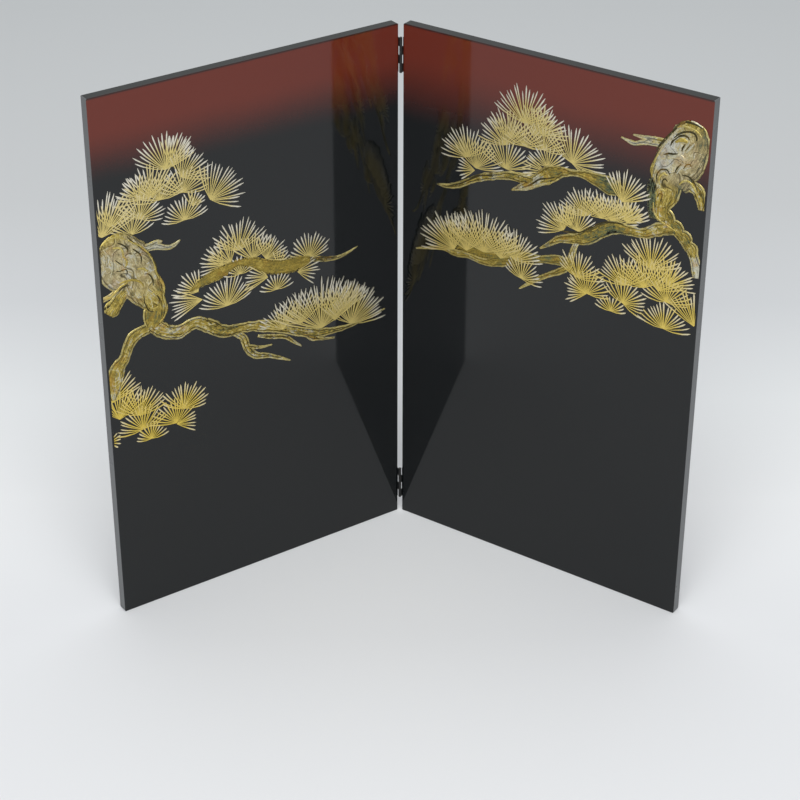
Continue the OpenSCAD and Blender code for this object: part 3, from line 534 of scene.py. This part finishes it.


# Raised maki-e wood: metal powders sifted over brushed lacquer while it was tacky. The eye gets ragged
# patches of gold, silver, mossy and reddish powder, a rim of paler gold round each limb with a dark line
# inside it, and dark lacquer left bare in swirls and furrows, with a painted highlight along one side of each
# swirl.
def branch_powder():
    material, add, place = start_material("gold_and_silver_powder_on_raised_lacquer")
    powder, fleck, dusted = (attribute(add, name) for name in ("powder", "fleck", "dusted"))
    grain = attribute(add, "grain", "Vector")
    # Patches of powder about 6 mm across, brush bands 9 mm long and 2 mm wide, and specks of 1 mm
    patches = add("TexNoise", {"Vector": place, "Scale": 170.0, "Detail": 4.0, "Roughness": 0.6})
    patch_shift = add("MapRange", {"Value": patches, **span(0.35, 0.65, -0.8, 0.8)})
    # Bands and furrows follow the bark of the slim limbs and fade 4 to 8 mm inside the broad ones
    inward = add("SeparateXYZ", {"Vector": grain}).outputs["Z"]
    bark = add("MapRange", {"Value": inward, **span(4.0, 8.0, 1.0, 0.0)})
    along = add("Mapping", {"Vector": grain, "Scale": (0.09, 0.7, 0.0)})
    bands = add("TexNoise", {"Vector": along, "Scale": 1.0, "Detail": 2.0, "Distortion": 1.2})
    band_shift = add("MapRange", {"Value": bands, **span(0.35, 0.65, -0.9, 0.9)})
    # Swirls: wandering lines about 14 mm apart, bare in the middle, with a painted highlight along one side
    swirls = add("TexNoise", {"Vector": place, "Scale": 55.0, "Detail": 0.6, "Distortion": 1.6})
    off_swirl, swirl_line = wandering_line(add, swirls)
    broad = add("MapRange", {"Value": bark, **span(0.0, 1.0, 1.0, 0.15)})
    swirl = add("Math", (swirl_line, broad), "MULTIPLY")
    # Painted highlight: more powder along one side of each swirl line
    swirl_painted_highlight = add("Math", (off_swirl, 0.055, 0.022), "COMPARE")
    banding = add("MapRange", {"Value": bark, **span(0.0, 1.0, 0.7)})
    shifts = add("Math", (band_shift, banding, patch_shift), "MULTIPLY_ADD")
    shifts_highlighted = add("Math", (swirl_painted_highlight, 0.8, shifts), "MULTIPLY_ADD")
    laid = add("Math", (shifts_highlighted, fleck, powder), "MULTIPLY_ADD")
    specks = add("TexNoise", {"Vector": place, "Scale": 900.0, "Detail": 1.0})
    speckled = add("Math", (specks, 1.4, laid), "MULTIPLY_ADD")
    share = add("MapRange", {"Value": speckled, **span(0.7, 4.7)})
    ramp = add("ValToRGB", {"Fac": share})
    set_ramp(ramp, linear(BARE_LACQUER), linear("#cac8b4"), POWDER_STOPS)
    # Here and there a reddish gold, in patches about 8 mm across
    reddish = add("TexNoise", {"Vector": place, "Scale": 120.0, "Detail": 2.0})
    red_share = add("MapRange", {"Value": reddish, **span(0.56, 0.7, 0.0, 0.4)})
    warmed = add("Mix", {"Factor": red_share, "A": ramp, "B": "#b4873f"}, data_type="RGBA")
    # Silver powder sifted over the broad heads of the trunks takes the yellow out of them
    silver = attribute(add, "silver")
    paled = add("MapRange", {"Value": silver, **span(0.0, 1.0, 1.05, 0.7)})
    cooled = add("HueSaturation", {"Saturation": paled, "Color": warmed})
    # The outline: from the limb's edge inwards, 1 mm of paler gold, then a dark line of 1 mm, both unsteady
    unsteady = add("Math", (patches, 2.4, inward), "MULTIPLY_ADD")
    rim = add("MapRange", {"Value": unsteady, **span(1.9, 2.4, 0.8, 0.0)})
    line_place = add("Math", (unsteady, 2.9, 0.35), "COMPARE")
    # Furrows: dark lines that wander about 20 mm along a limb
    furrow_way = add("Mapping", {"Vector": grain, "Scale": (0.05, 0.3, 0.0)})
    furrows = add("TexNoise", {"Vector": furrow_way, "Scale": 1.0, "Detail": 2.0, "Distortion": 1.2})
    furrow = wandering_line(add, furrows)[1]
    bark_furrow = add("Math", (furrow, bark), "MULTIPLY")
    lines = add("Math", (line_place, bark_furrow), "MAXIMUM")
    dark = add("Math", (lines, swirl), "MAXIMUM")
    dark_share = add("Math", (dark, fleck), "MULTIPLY")
    dark_soft = add("Math", (dark_share, 0.8), "MULTIPLY")
    rim_share = add("Math", (rim, fleck), "MULTIPLY")
    rimmed = add("Mix", {"Factor": rim_share, "A": cooled, "B": "#cdbf80"}, data_type="RGBA")
    lined = add("Mix", {"Factor": dark_soft, "A": rimmed, "B": BARE_LACQUER}, data_type="RGBA")
    # The powder's grains, drawn at 0.4 mm where the real ones are under 0.1 mm
    grains = add("TexNoise", {"Vector": place, "Scale": 2500.0, "Detail": 1.0})
    sparkle = add("MapRange", {"Value": grains, **span(0.3, 0.7, 0.8, 1.2)})
    # Fine strokes of a nearly dry brush, 1 mm wide, which wind about the swirls
    hatching = add("TexNoise", {
        "Vector": place, "Scale": 330.0, "Detail": 2.0, "Roughness": 0.6, "Distortion": 2.2})
    hatched = add("MapRange", {"Value": hatching, **span(0.32, 0.68, 0.74, 1.2)})
    level = add("Math", (sparkle, hatched), "MULTIPLY")
    colour = add("VectorMath", {0: lined, "Scale": level}, "SCALE")
    # Where only thin powder was sifted, its edge is lost in single specks
    inward_part = add("Math", (inward, 0.5), "MULTIPLY")
    spread = add("Math", (specks, 3.0, inward_part), "MULTIPLY_ADD")
    settled = add("MapRange", {"Value": spread, **span(1.6, 2.2)})
    drawn = add("Math", (1.0, dusted), "SUBTRACT")
    cover = add("Math", (drawn, settled), "MAXIMUM")
    metal = add("MapRange", {"Value": share, **span(0.0, 0.5, 0.0, 0.85)})
    # Strokes of lampblack without powder stay matt
    matt = add("MapRange", {"Value": share, **span(0.0, 0.15, 0.0, 0.5)})
    sheen = add("MapRange", {"Value": grains, **span(0.0, 1.0, 0.3, 0.5)})
    relief = add("Math", (patches, 4.0, grains), "MULTIPLY_ADD")
    finish_material(add, relief, 0.5, 0.00006, {
        "Base Color": colour, "Metallic": metal, "Roughness": sheen, "Specular IOR Level": matt,
        "Alpha": cover})
    return material


# Raised maki-e needles: single brush lines dusted with gold at the heart of a fan and silver at the tips
def needle_powder():
    own = settings().pine
    material, add, place = start_material("gold_powder_needles_silver_tips")
    reach, tone, silver, flank = (attribute(add, name) for name in ("reach", "tone", "silver", "flank"))
    clouds = add("TexNoise", {"Vector": place, "Scale": 110.0, "Detail": 2.0})
    gold = add("Mix", {"Factor": tone, "A": own.gold, "B": own.rich_gold}, data_type="RGBA")
    cloudy_reach = add("Math", (clouds, 0.3, reach), "MULTIPLY_ADD")
    silvered = add("MapRange", {"Value": cloudy_reach, **span(0.6, 1.05)}, **SMOOTH)
    silver_share = add("Math", (silvered, silver), "MULTIPLY")
    dusted = add("Mix", {"Factor": silver_share, "A": gold, "B": own.silver}, data_type="RGBA")
    grains = add("TexNoise", {"Vector": place, "Scale": 2500.0, "Detail": 1.0})
    sparkle = add("MapRange", {"Value": grains, **span(0.3, 0.7, 0.85, 1.12)})
    # Painted shade down the flanks of a needle: darker towards its edges, so crossing needles stay apart
    flank_painted_shade = add("MapRange", {"Value": flank, **span(0.45, 1.0, 1.0, 0.55)})
    level = add("Math", (sparkle, flank_painted_shade), "MULTIPLY")
    colour = add("VectorMath", {0: dusted, "Scale": level}, "SCALE")
    sheen = add("MapRange", {"Value": grains, **span(0.0, 1.0, 0.28, 0.48)})
    finish_material(add, grains, 0.4, 0.00003, {"Base Color": colour, "Metallic": 0.9, "Roughness": sheen})
    return material


# Seamless matt backdrop paper: pale round the object and palest just behind it, then greyer farther back, a
# painted shade where it runs away from the lamps
def backdrop_paper():
    own = settings().stage
    material, add, place = start_material("matt_backdrop_paper")
    back = add("SeparateXYZ", {"Vector": place}).outputs["Y"]
    share = add("MapRange", {"Value": back, **span(-0.1, 1.3)})
    ramp = add("ValToRGB", {"Fac": share})
    set_ramp(ramp, own.floor, own.distance, BACKDROP_LIGHT_AND_SHADE_STOPS)
    add("OutputMaterial", {
        "Surface": add("BsdfPrincipled", {"Base Color": ramp, "Roughness": 0.9, "Specular IOR Level": 0.1})})
    return material


def soft_room(own):
    """The world: even light from all round, and a pale room for all that is seen or mirrored."""
    world = bpy.data.worlds.new("soft_room")
    world.use_nodes = True
    world.node_tree.nodes.clear()
    add = partial(add_node, world.node_tree)
    path = add("LightPath").outputs
    mirrored = add("Math", (path["Is Glossy Ray"], path["Is Transmission Ray"]), "MAXIMUM")
    seen_way = add("Math", (path["Is Camera Ray"], mirrored), "MAXIMUM")
    seen = add("Background", {"Color": own.room, "Strength": 1.0})
    light = add("Background", {"Color": "#fbfcff", "Strength": own.ambient})
    add("OutputWorld", {"Surface": add("MixShader", (seen_way, light, seen))})
    return world


def camera_turn():
    """Which way the camera faces, from its pitch, yaw and roll."""
    pitch, yaw, roll = CAMERA_PITCH, CAMERA_YAW, CAMERA_ROLL
    ahead = Vector((math.sin(yaw) * math.cos(pitch), math.cos(yaw) * math.cos(pitch), math.sin(pitch)))
    level = Vector((math.cos(yaw), -math.sin(yaw), 0))
    upright = level.cross(ahead)
    right = math.cos(roll) * level + math.sin(roll) * upright
    up = -math.sin(roll) * level + math.cos(roll) * upright
    return Matrix((right, up, -ahead)).transposed().to_4x4()


def add_object(scene, name, data):
    """Puts a new object with some data into the scene."""
    new = bpy.data.objects.new(name, data)
    scene.collection.objects.link(new)
    return new


def smooth_curve(points, spacing):
    """Rows about spacing millimetres apart on a smooth curve through rows of (out, height, width, powder)."""
    rows = [Vector(point) for point in points]
    last = len(rows) - 1
    curve = []
    for i in range(last):
        a, b, c, d = rows[max(i - 1, 0)], rows[i], rows[i + 1], rows[min(i + 2, last)]
        steps = max(2, round((c - b).xy.length / spacing))
        for k in range(steps):
            t = k / steps
            curve.append((2 * b + (c - a) * t + (2 * a - 5 * b + 4 * c - d) * t ** 2
                          + (3 * b - a - 3 * c + d) * t ** 3) / 2)
    curve.append(rows[last])
    return curve


def float_layers(bm, *names):
    """Attributes on the vertices of a new mesh, which the powders' materials read."""
    return {name: bm.verts.layers.float.new(name) for name in names}


def lay_brushwork(bm, layers, curve, columns, height_over, fleck, slant, start):
    """Lays one limb or stroke along a curve. height_over gives its height over the board, in millimetres,
    for a place, the share of the way across and the width there."""
    dusted = float(DUSTED[0] < fleck < DUSTED[1])
    last = len(curve) - 1
    grid = bmesh.ops.create_grid(bm, x_segments=columns, y_segments=last, size=1)
    along = [0.0]
    for before, after in zip(curve, curve[1:]):
        along.append(along[-1] + (after - before).xy.length)
    for vert in grid["verts"]:
        across, row = vert.co.x, round((vert.co.y + 1) / 2 * last)
        out, height, width, powder = curve[row]
        run = (curve[min(row + 1, last)] - curve[max(row - 1, 0)]).xy.normalized()
        # The two edges wander by themselves, so they read the noise on two lines 6 apart
        wander = noise.noise(Vector(((start + along[row]) / WANDER_LENGTH, 3 * math.copysign(1, across), 0)))
        reach = across * (width / 2 + WANDER * fleck * wander * min(width / 2, WANDER_WIDEST))
        x, y = out - run.y * reach, height + run.x * reach
        vert[layers["powder"]] = powder + slant * across * width / SLANT_WIDTH
        vert[layers["silver"]] = min(max((width - SILVER_FROM) / (SILVER_FULL - SILVER_FROM), 0.0), 1.0)
        vert[layers["fleck"]] = fleck
        vert[layers["dusted"]] = dusted
        vert[layers["grain"]] = (start + along[row], across * width / 2, (1 - abs(across)) * width / 2)
        vert.co = (x, y, height_over(x, y, across, width))
    # Each face once, always in the same order
    close_underneath(bm, list(dict.fromkeys(face for vert in grid["verts"] for face in vert.link_faces)))


def vertices_of(geometry):
    """The vertices among the parts of a mesh."""
    return [item for item in geometry if isinstance(item, bmesh.types.BMVert)]


def close_underneath(bm, faces):
    """Closes a raised sheet with walls and a floor just inside the board."""
    made = bmesh.ops.extrude_face_region(bm, geom=faces, use_keep_orig=True)
    for vert in vertices_of(made["geom"]):
        vert.co.z = -UNDER


def dome(relief, lift):
    """The height of a limb: a low dome, higher where it is wide, on top of the limbs painted before."""
    def height_over(x, y, across, width):
        full = relief * (DOME_LEAST + DOME_GAIN * min(width, DOME_WIDEST))
        bumps = noise.noise(Vector((x / BUMP_PITCH, y / BUMP_PITCH, BUMP_SLICE))) * BUMPS * relief
        return (lift + DOME_FOOT * relief + full * math.sqrt(max(0.0, 1 - across ** 2))
                + bumps * (1 - abs(across)))
    return height_over


def over(ground, rise):
    """The height of a stroke: a flat ribbon over whatever lies below."""
    def height_over(x, y, across, width):
        hit = ground.ray_cast(Vector((x, y, ABOVE)), Vector((0, 0, -1)))[0]
        return (hit.z if hit else 0.0) + rise * (1 - STROKE_ROUNDING * across ** 2)
    return height_over


def settle_order(bm):
    """Puts edges and faces in the order of their corners. Sheets are closed in an order that changes from run
    to run, and the finished mesh is to be the same each time."""
    bm.verts.index_update()
    count = len(bm.verts)

    def rank(part):
        lowest = sorted(vert.index for vert in part.verts)[:3]
        return sum(index * count ** power for power, index in enumerate(reversed(lowest)))

    bm.edges.sort(key=rank)
    bm.faces.sort(key=rank)


def trim_to_picture(bm):
    """Cuts off what passes the outer edge of the picture and closes the cut."""
    everything = list(bm.verts) + list(bm.edges) + list(bm.faces)
    bmesh.ops.bisect_plane(
        bm, geom=everything, plane_co=(PICTURE_EDGE, 0, 0), plane_no=(1, 0, 0), clear_outer=True)
    bmesh.ops.holes_fill(bm, edges=[edge for edge in bm.edges if edge.is_boundary], sides=0)


def hand_over(bm, name, side, material, smooth, slot, *nodes):
    """Makes a piece of a mesh drawn flat in millimetres, and stands it on the front of its board."""
    settle_order(bm)
    to_board = Matrix.Diagonal((BOARD_WIDTH / SHEET_WIDTH, MM, MM, 1))
    bmesh.ops.transform(bm, matrix=board_matrix(side) @ to_board, verts=bm.verts)
    bmesh.ops.recalc_face_normals(bm, faces=bm.faces)
    for face in bm.faces:
        face.smooth = smooth
    mesh = bpy.data.meshes.new(name)
    bm.to_mesh(mesh)
    bm.free()
    mesh.materials.append(material)
    piece = add_object(bpy.context.scene, name, mesh)
    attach(piece, f"{side}_side")
    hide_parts(*nodes)


def needle_shape(bm, layers):
    """One needle, lying along Y from 0 to 1 and 1 wide, with a ridge along its top."""
    last = len(NEEDLE_STATIONS) - 1
    grid = bmesh.ops.create_grid(bm, x_segments=2, y_segments=last, size=1)
    for vert in grid["verts"]:
        across = vert.co.x
        reach, width = NEEDLE_STATIONS[round((vert.co.y + 1) / 2 * last)]
        vert[layers["reach"]] = reach
        vert[layers["flank"]] = abs(across)
        vert.co = (across * width / 2, reach, width if abs(across) < 0.5 else FLANK_HEIGHT * width)
    close_underneath(bm, list(bm.faces))


def crossed(side, spot, own_fan):
    """Whether another fan of the board spreads over a spot."""
    for _, _, fans in BOUGHS[side]:
        for fan in fans:
            out, height, lean, spread, length = fan
            away = spot - Vector((out, height))
            turn = (math.degrees(math.atan2(away.x, away.y)) - lean + 180) % 360 - 180
            if fan is not own_fan and away.length < CROSSED_REACH * length and abs(turn) < spread / 2:
                return True
    return False


def grow_needles(bm, side, own):
    """Grows every fan of one board, needle by needle."""
    layers = float_layers(bm, "reach", "tone", "silver", "flank")
    needle_shape(bm, layers)
    template = list(bm.verts) + list(bm.edges) + list(bm.faces)
    chance = random.Random(NEEDLE_SEED + SIDES.index(side))
    width, pitch, relief = own.needle_width / MM, own.needle_pitch / MM, own.needle_relief / MM
    layer = 0
    for tone, over_wood, fans in BOUGHS[side]:
        for fan in fans:
            out, height, lean, spread, length = fan
            heart = Vector((out, height))
            layer += 1
            base = FAN_BASE + FAN_STEP * layer + (OVER_WOOD if over_wood else 0.0)
            gaps = max(FEWEST_GAPS, round(math.radians(spread) * length / pitch))
            for i in range(gaps + 1):
                aside = math.radians(spread * (i / gaps - 0.5) + chance.uniform(*NEEDLE_TURNS))
                own_length = length * chance.uniform(*NEEDLE_LENGTHS)
                own_width = width * chance.uniform(*NEEDLE_WIDTHS)
                aim = math.radians(lean) + aside
                tip = heart + Vector((math.sin(aim), math.cos(aim))) * own_length
                # Fewer tips took silver where the fans cross and low on the tree
                silver = (CROSSED_SILVER if crossed(side, tip, fan) else 1.0) * (1 - RICH_LOSS * tone)
                made = bmesh.ops.duplicate(bm, geom=template)
                for vert in vertices_of(made["geom"]):
                    across, reach, top = vert.co
                    # The outermost needles set off flat and bend up
                    angle = aim + aside * NEEDLE_BEND * abs(aside) * (1 - reach)
                    way = Vector((math.sin(angle), math.cos(angle)))
                    spot = heart + way * own_length * reach + Vector((way.y, -way.x)) * across * own_width
                    vert[layers["tone"]] = tone
                    vert[layers["silver"]] = silver
                    vert.co = (spot.x, spot.y, base + top * relief if top > 0 else -UNDER)
    bmesh.ops.delete(bm, geom=vertices_of(template), context="VERTS")


def paint_nodes(names, material):
    """Gives CAD nodes a material of the scene's own."""
    for name in names:
        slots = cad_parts[name].data.materials
        slots.clear()
        slots.append(material)


class SCREEN_OT_lacquer_boards(bpy.types.Operator):
    """Lacquers the two boards black, with the red mist along the top of their fronts"""
    bl_idname = "folding_screen.lacquer_boards"
    bl_label = "Lacquer the boards"

    def execute(self, context):
        for side in SIDES:
            paint_nodes([f"{side}_panel"], polished_lacquer(side))
        return {"FINISHED"}


class SCREEN_OT_paint_hinges(bpy.types.Operator):
    """Paints the leaves and pins of both hinges satin black"""
    bl_idname = "folding_screen.paint_hinges"
    bl_label = "Paint the hinges"

    def execute(self, context):
        pieces = ("left_leaf", "right_leaf", "pin")
        paint_nodes([f"{level}_hinge_{piece}" for level in LEVELS for piece in pieces], hinge_paint())
        return {"FINISHED"}


class SCREEN_OT_blacken_screws(bpy.types.Operator):
    """Blackens the screws that hold the hinges"""
    bl_idname = "folding_screen.blacken_screws"
    bl_label = "Blacken the screws"

    def execute(self, context):
        paint_nodes([f"{level}_{side}_screws" for level in LEVELS for side in SIDES], screw_steel())
        return {"FINISHED"}


class SCREEN_OT_raise_branches(bpy.types.Operator):
    """Builds the pine's limbs and the brush strokes over them on both boards"""
    bl_idname = "folding_screen.raise_branches"
    bl_label = "Raise the branches"

    def execute(self, context):
        relief = settings().pine.limb_relief / MM
        material = branch_powder()
        for side in SIDES:
            bm = bmesh.new()
            layers = float_layers(bm, "powder", "silver", "fleck", "dusted")
            layers["grain"] = bm.verts.layers.float_vector.new("grain")
            for number, (fleck, slant, limb) in enumerate(LIMBS[side]):
                lay_brushwork(bm, layers, smooth_curve(limb, LIMB_STEP), LIMB_FACES,
                              dome(relief, LIMB_LIFT * number), fleck, slant, LIMB_START * number)
            ground = BVHTree.FromBMesh(bm)
            for number, stroke in enumerate(STROKES[side]):
                lay_brushwork(bm, layers, smooth_curve(stroke, STROKE_STEP), STROKE_FACES,
                              over(ground, STROKE_RISE), STROKE_FLECK, 0, STROKE_START * number)
            trim_to_picture(bm)
            hand_over(bm, f"{side}_pine_branches", side, material, True, "branch_gold", f"{side}_pine_wood")
        return {"FINISHED"}


class SCREEN_OT_raise_needles(bpy.types.Operator):
    """Builds the pine's fans of needles on both boards"""
    bl_idname = "folding_screen.raise_needles"
    bl_label = "Raise the needles"

    def execute(self, context):
        material = needle_powder()
        for side in SIDES:
            bm = bmesh.new()
            grow_needles(bm, side, settings().pine)
            trim_to_picture(bm)
            hand_over(bm, f"{side}_pine_fans", side, material, False, "needle_gold", f"{side}_pine_needles")
        return {"FINISHED"}


class SCREEN_OT_set_stage(bpy.types.Operator):
    """Lays the floor, lights the room, hangs two soft lamps and sets up the camera"""
    bl_idname = "folding_screen.set_stage"
    bl_label = "Set the stage"

    def execute(self, context):
        own = settings().stage
        scene = context.scene
        bm = bmesh.new()
        bmesh.ops.create_grid(bm, x_segments=FLOOR_FACES, y_segments=FLOOR_FACES, size=FLOOR_REACH)
        mesh = bpy.data.meshes.new("floor")
        bm.to_mesh(mesh)
        bm.free()
        mesh.materials.append(backdrop_paper())
        floor = add_object(scene, "floor", mesh)
        scene.world = soft_room(own)
        lamps = (("soft_box", SOFT_BOX, own.lamp_power), ("fill", FILL, own.fill_power))
        for name, (size, place), power in lamps:
            lamp = bpy.data.lights.new(name, "AREA")
            lamp.shape, lamp.size, lamp.energy = "SQUARE", size, power
            lamp_object = add_object(scene, name, lamp)
            lamp_object.location = place
            lamp_object.rotation_euler = (LAMP_AIM - lamp_object.location).to_track_quat("-Z", "Y").to_euler()
        camera = bpy.data.cameras.new("camera")
        camera.sensor_width, camera.lens = CAMERA_SENSOR, CAMERA_LENS
        camera.clip_start, camera.clip_end = CAMERA_CLIP
        scene.camera = add_object(scene, "camera", camera)
        scene.camera.matrix_world = camera_turn()
        scene.camera.location = CAMERA_PLACE
        scene.view_settings.view_transform = "Standard"
        return {"FINISHED"}


class ScreenSettings(bpy.types.PropertyGroup):
    lacquer: group_setting(LacquerSettings, "Lacquer", "Finish of the boards")
    hardware: group_setting(HardwareSettings, "Hardware", "Hinges and screws")
    pine: group_setting(PineSettings, "Pine", "The raised pine")
    stage: group_setting(StageSettings, "Stage", "Floor and light")


class SCREEN_PT_sidebar(bpy.types.Panel):
    """Lists the steps that finish the screen"""
    bl_idname = "SCREEN_PT_sidebar"
    bl_label = "Folding screen"
    bl_space_type = "VIEW_3D"
    bl_region_type = "UI"
    bl_category = "Folding screen"

    def draw(self, context):
        for operator in OPERATORS:
            self.layout.operator(operator.bl_idname)


OPERATORS = (
    SCREEN_OT_set_stage, SCREEN_OT_lacquer_boards, SCREEN_OT_paint_hinges, SCREEN_OT_blacken_screws,
    SCREEN_OT_raise_branches, SCREEN_OT_raise_needles,
)
CLASSES = (
    LacquerSettings, HardwareSettings, PineSettings, StageSettings, ScreenSettings, *OPERATORS,
    SCREEN_PT_sidebar,
)


def register():
    for cls in CLASSES:
        bpy.utils.register_class(cls)
    bpy.types.Scene.folding_screen = group_setting(
        ScreenSettings, "Folding screen", "Sizes and colours of the folding screen")


def unregister():
    del bpy.types.Scene.folding_screen
    for cls in reversed(CLASSES):
        bpy.utils.unregister_class(cls)


def main():
    register()
    bpy.ops.folding_screen.set_stage()
    bpy.ops.folding_screen.lacquer_boards()
    bpy.ops.folding_screen.paint_hinges()
    bpy.ops.folding_screen.blacken_screws()
    bpy.ops.folding_screen.raise_branches()
    bpy.ops.folding_screen.raise_needles()


if __name__ == "__main__":
    main()
